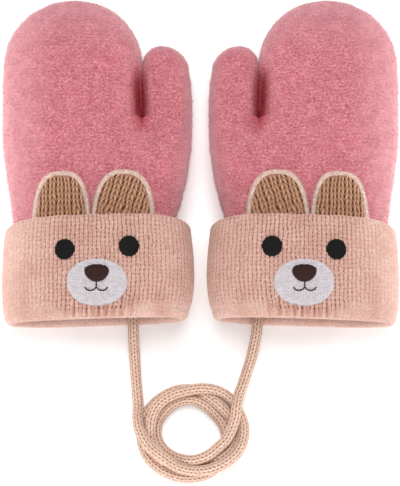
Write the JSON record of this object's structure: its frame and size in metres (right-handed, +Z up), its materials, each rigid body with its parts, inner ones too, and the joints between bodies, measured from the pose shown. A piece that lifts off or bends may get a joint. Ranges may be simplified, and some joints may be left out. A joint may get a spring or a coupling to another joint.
{
  "type": "pair of baby mittens joined by a cord",
  "caption": "Pair of knitted baby mittens with turned-up cuffs, animal ears and a joining cord, lying on a surface with their hollow form kept.",
  "frame": {"origin": "on the surface that the mittens lie on, below the centre of the bounding box of the pair without its cord", "axes": "+X to the right across the pair, +Y from the cuffs to the fingertips, +Z up from the surface"},
  "size_m": [0.1588, 0.1975, 0.0293],
  "materials": {
    "brushed_knit": "brushed heather knit, felted",
    "cuff_knit": "fine plain knit",
    "ear_plush": "short plush",
    "ear_knit": "chunky plain knit",
    "cord_knit": "knitted cord"
  },
  "bodies": {
    "root": {"left_hand": "brushed_knit", "right_hand": "brushed_knit", "left_cuff": "cuff_knit", "right_cuff": "cuff_knit", "left_outer_ear_back": "ear_plush", "left_outer_ear_front": "ear_knit", "left_inner_ear_back": "ear_plush", "left_inner_ear_front": "ear_knit", "right_outer_ear_back": "ear_plush", "right_outer_ear_front": "ear_knit", "right_inner_ear_back": "ear_plush", "right_inner_ear_front": "ear_knit", "cord_left_run": "cord_knit", "cord_right_run": "cord_knit", "cord_coil": "cord_knit"}
  },
  "joints": []
}
